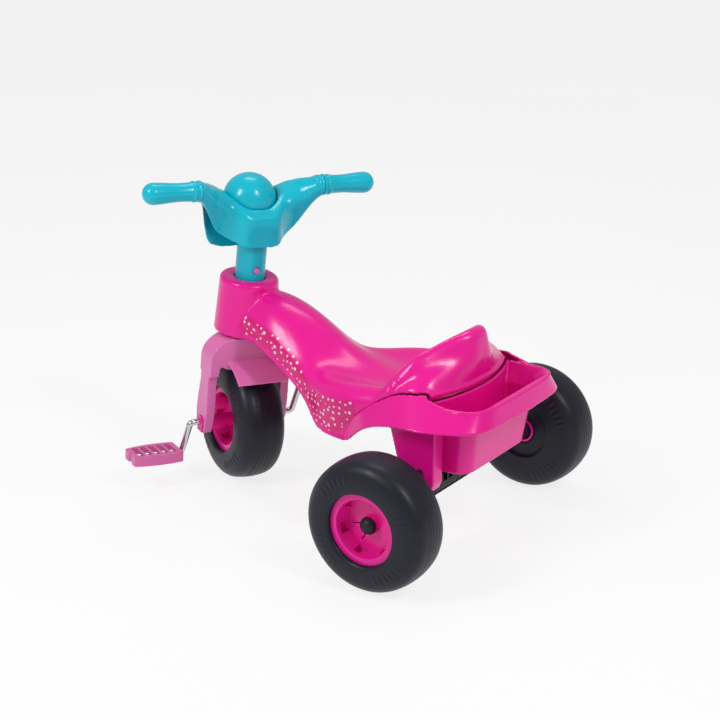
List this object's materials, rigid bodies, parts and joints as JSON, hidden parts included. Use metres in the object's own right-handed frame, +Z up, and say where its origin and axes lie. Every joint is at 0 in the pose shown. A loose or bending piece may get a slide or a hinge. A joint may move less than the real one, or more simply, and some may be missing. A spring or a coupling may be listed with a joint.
{
  "type": "children's tricycle",
  "caption": "Child's moulded ride-on tricycle: turning fork with pedals on the front wheel, cowled handlebar, seat with back rest and a small open carrier tub over two free rear wheels.",
  "frame": {"origin": "on the ground, at the middle of the footprint", "axes": "+X forwards, +Y to the rider's left, +Z up; the front wheel rests turned to the right"},
  "size_m": [0.5987, 0.504, 0.4805],
  "materials": {
    "shell_pink": "glossy moulded polyethylene, bright pink",
    "fork_pink": "glossy moulded plastic, pale pink",
    "bar_teal": "glossy moulded plastic, teal",
    "tyre_black": "satin moulded plastic, bluish black",
    "hub_pink": "glossy moulded plastic, pink",
    "axle_black": "satin black moulded plastic",
    "steel": "bright plated steel"
  },
  "bodies": {
    "root": {"body_shell": "shell_pink", "rear_tub": "shell_pink", "tub_screws": "steel", "axle_beam": "axle_black", "beam_pegs": "axle_black", "rear_axle": "steel", "axle_cap_left": "axle_black", "axle_cap_right": "axle_black", "axle_washer_left": "steel", "axle_washer_right": "steel"},
    "steering": {"fork": "fork_pink", "handlebar": "bar_teal", "handlebar_dome": "bar_teal", "button_spring": "steel", "fork_bush_left": "hub_pink", "fork_bush_right": "hub_pink", "grip_left": "bar_teal", "grip_right": "bar_teal"},
    "front_wheel": {"front_tyre": "tyre_black", "front_hub": "hub_pink", "crank": "steel", "wheel_spacer_left": "axle_black", "wheel_spacer_right": "axle_black"},
    "pedal_left": {"pedal_left": "hub_pink"},
    "pedal_right": {"pedal_right": "hub_pink"},
    "rear_wheel_left": {"rear_tyre_left": "tyre_black", "rear_hub_left": "hub_pink"},
    "rear_wheel_right": {"rear_tyre_right": "tyre_black", "rear_hub_right": "hub_pink"},
    "snap_button": {"snap_button": "fork_pink"}
  },
  "joints": [
    {"name": "steering_turn", "type": "hinge", "parent": "root", "child": "steering", "pos_m": [0.1748, 0, 0.27257], "axis": [-0.1245, 0, 0.9922], "range_deg": [-12.5, 67.5]},
    {"name": "front_wheel_spin", "type": "hinge", "parent": "steering", "child": "front_wheel", "pos_m": [0.18682, 0.00545, 0.09267], "axis": [0.4582, 0.887, 0.0575], "continuous": true},
    {"name": "pedal_left_spin", "type": "hinge", "parent": "front_wheel", "child": "pedal_left", "pos_m": [0.2641, 0.12156, 0.05089], "axis": [0.4582, 0.887, 0.0575], "continuous": true},
    {"name": "pedal_right_spin", "type": "hinge", "parent": "front_wheel", "child": "pedal_right", "pos_m": [0.10954, -0.11066, 0.13444], "axis": [0.4582, 0.887, 0.0575], "continuous": true},
    {"name": "rear_wheel_left_spin", "type": "hinge", "parent": "root", "child": "rear_wheel_left", "pos_m": [-0.1965, 0.215, 0.0925], "axis": [0, 1, 0], "continuous": true},
    {"name": "rear_wheel_right_spin", "type": "hinge", "parent": "root", "child": "rear_wheel_right", "pos_m": [-0.1965, -0.215, 0.0925], "axis": [0, 1, 0], "continuous": true},
    {"name": "snap_button_press", "type": "slide", "parent": "steering", "child": "snap_button", "axis": [0.8801, -0.4617, 0.1104], "range_m": [0, 0.004], "stiffness_N_per_m": 300, "deforming": ["button_spring"]}
  ]
}
